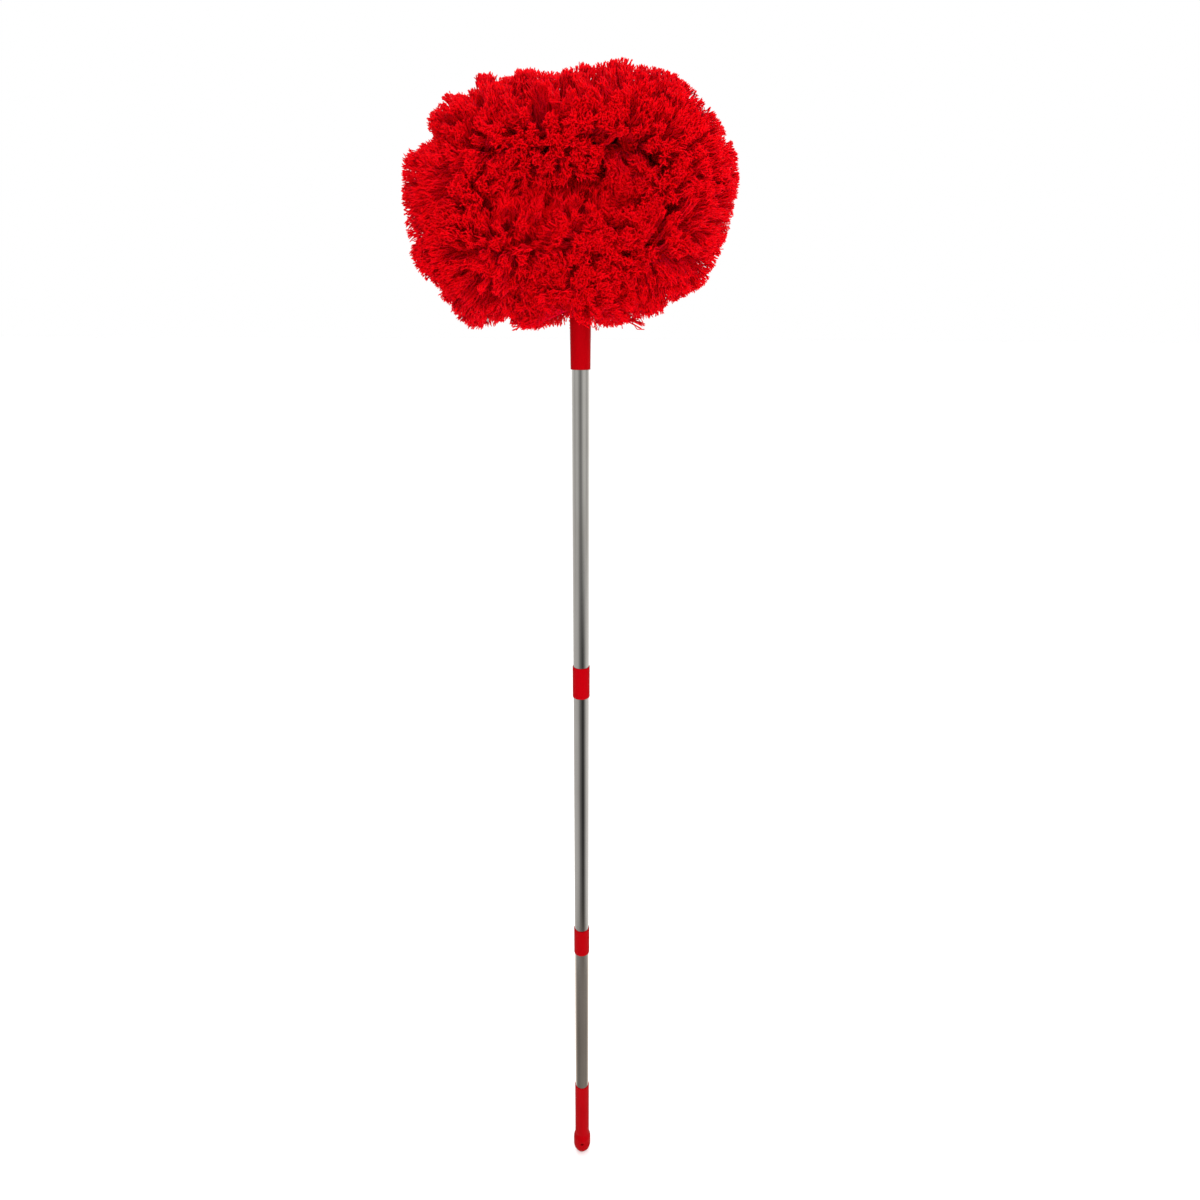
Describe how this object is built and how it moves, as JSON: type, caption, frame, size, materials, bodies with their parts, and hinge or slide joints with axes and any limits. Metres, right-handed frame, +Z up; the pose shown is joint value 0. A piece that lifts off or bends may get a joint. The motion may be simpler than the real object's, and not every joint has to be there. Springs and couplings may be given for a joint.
{
  "type": "feather duster",
  "caption": "Long-handled duster: screw-together polished steel pole with red plastic collars, grip and hanging cap, and a wide oval head of red fibre on a wire loop.",
  "frame": {"origin": "centre of the hanging hole in the end cap, on the pole's axis", "axes": "+Z up the pole towards the head, X across the wide side of the head, Y along the hanging hole and through the head's depth"},
  "size_m": [0.39, 0.168, 1.666],
  "materials": {
    "red_plastic": "satin",
    "plug_plastic": "satin",
    "washer_rubber": "matte",
    "polished_steel": "polished",
    "wire_steel": "satin",
    "red_fibre": "matte"
  },
  "bodies": {
    "lower_section": {"end_cap": "red_plastic", "grip": "red_plastic", "lower_tube": "polished_steel", "lower_plug": "plug_plastic"},
    "lower_joint_washer": {"lower_washer": "washer_rubber"},
    "middle_section": {"middle_socket": "red_plastic", "middle_tube": "polished_steel", "middle_plug": "plug_plastic"},
    "middle_joint_washer": {"middle_washer": "washer_rubber"},
    "upper_section": {"upper_socket": "red_plastic", "upper_tube": "polished_steel", "upper_plug": "plug_plastic"},
    "upper_joint_washer": {"upper_washer": "washer_rubber"},
    "head": {"head_coupler": "red_plastic", "loop_wire_front": "wire_steel", "loop_wire_back": "wire_steel", "fibre_pile": "red_fibre"}
  },
  "joints": [
    {"name": "middle_lift", "type": "slide", "parent": "lower_section", "child": "lower_joint_washer", "axis": [0, 0, 1], "range_m": [0, 0.0201]},
    {"name": "middle_unscrew", "type": "hinge", "parent": "lower_joint_washer", "child": "middle_section", "pos_m": [0, 0, 0.406], "axis": [0, 0, 1], "range_deg": [0, 1800]},
    {"name": "upper_lift", "type": "slide", "parent": "middle_section", "child": "middle_joint_washer", "axis": [0, 0, 1], "range_m": [0, 0.0201]},
    {"name": "upper_unscrew", "type": "hinge", "parent": "middle_joint_washer", "child": "upper_section", "pos_m": [0, 0, 0.856], "axis": [0, 0, 1], "range_deg": [0, 1800]},
    {"name": "head_lift", "type": "slide", "parent": "upper_section", "child": "upper_joint_washer", "axis": [0, 0, 1], "range_m": [0, 0.0201]},
    {"name": "head_unscrew", "type": "hinge", "parent": "upper_joint_washer", "child": "head", "pos_m": [0, 0, 1.306], "axis": [0, 0, 1], "range_deg": [0, 1800]}
  ],
  "couplings": [
    {"joint": "middle_lift", "follows": "middle_unscrew", "m_per_rad": 0.00063662},
    {"joint": "upper_lift", "follows": "upper_unscrew", "m_per_rad": 0.00063662},
    {"joint": "head_lift", "follows": "head_unscrew", "m_per_rad": 0.00063662}
  ]
}
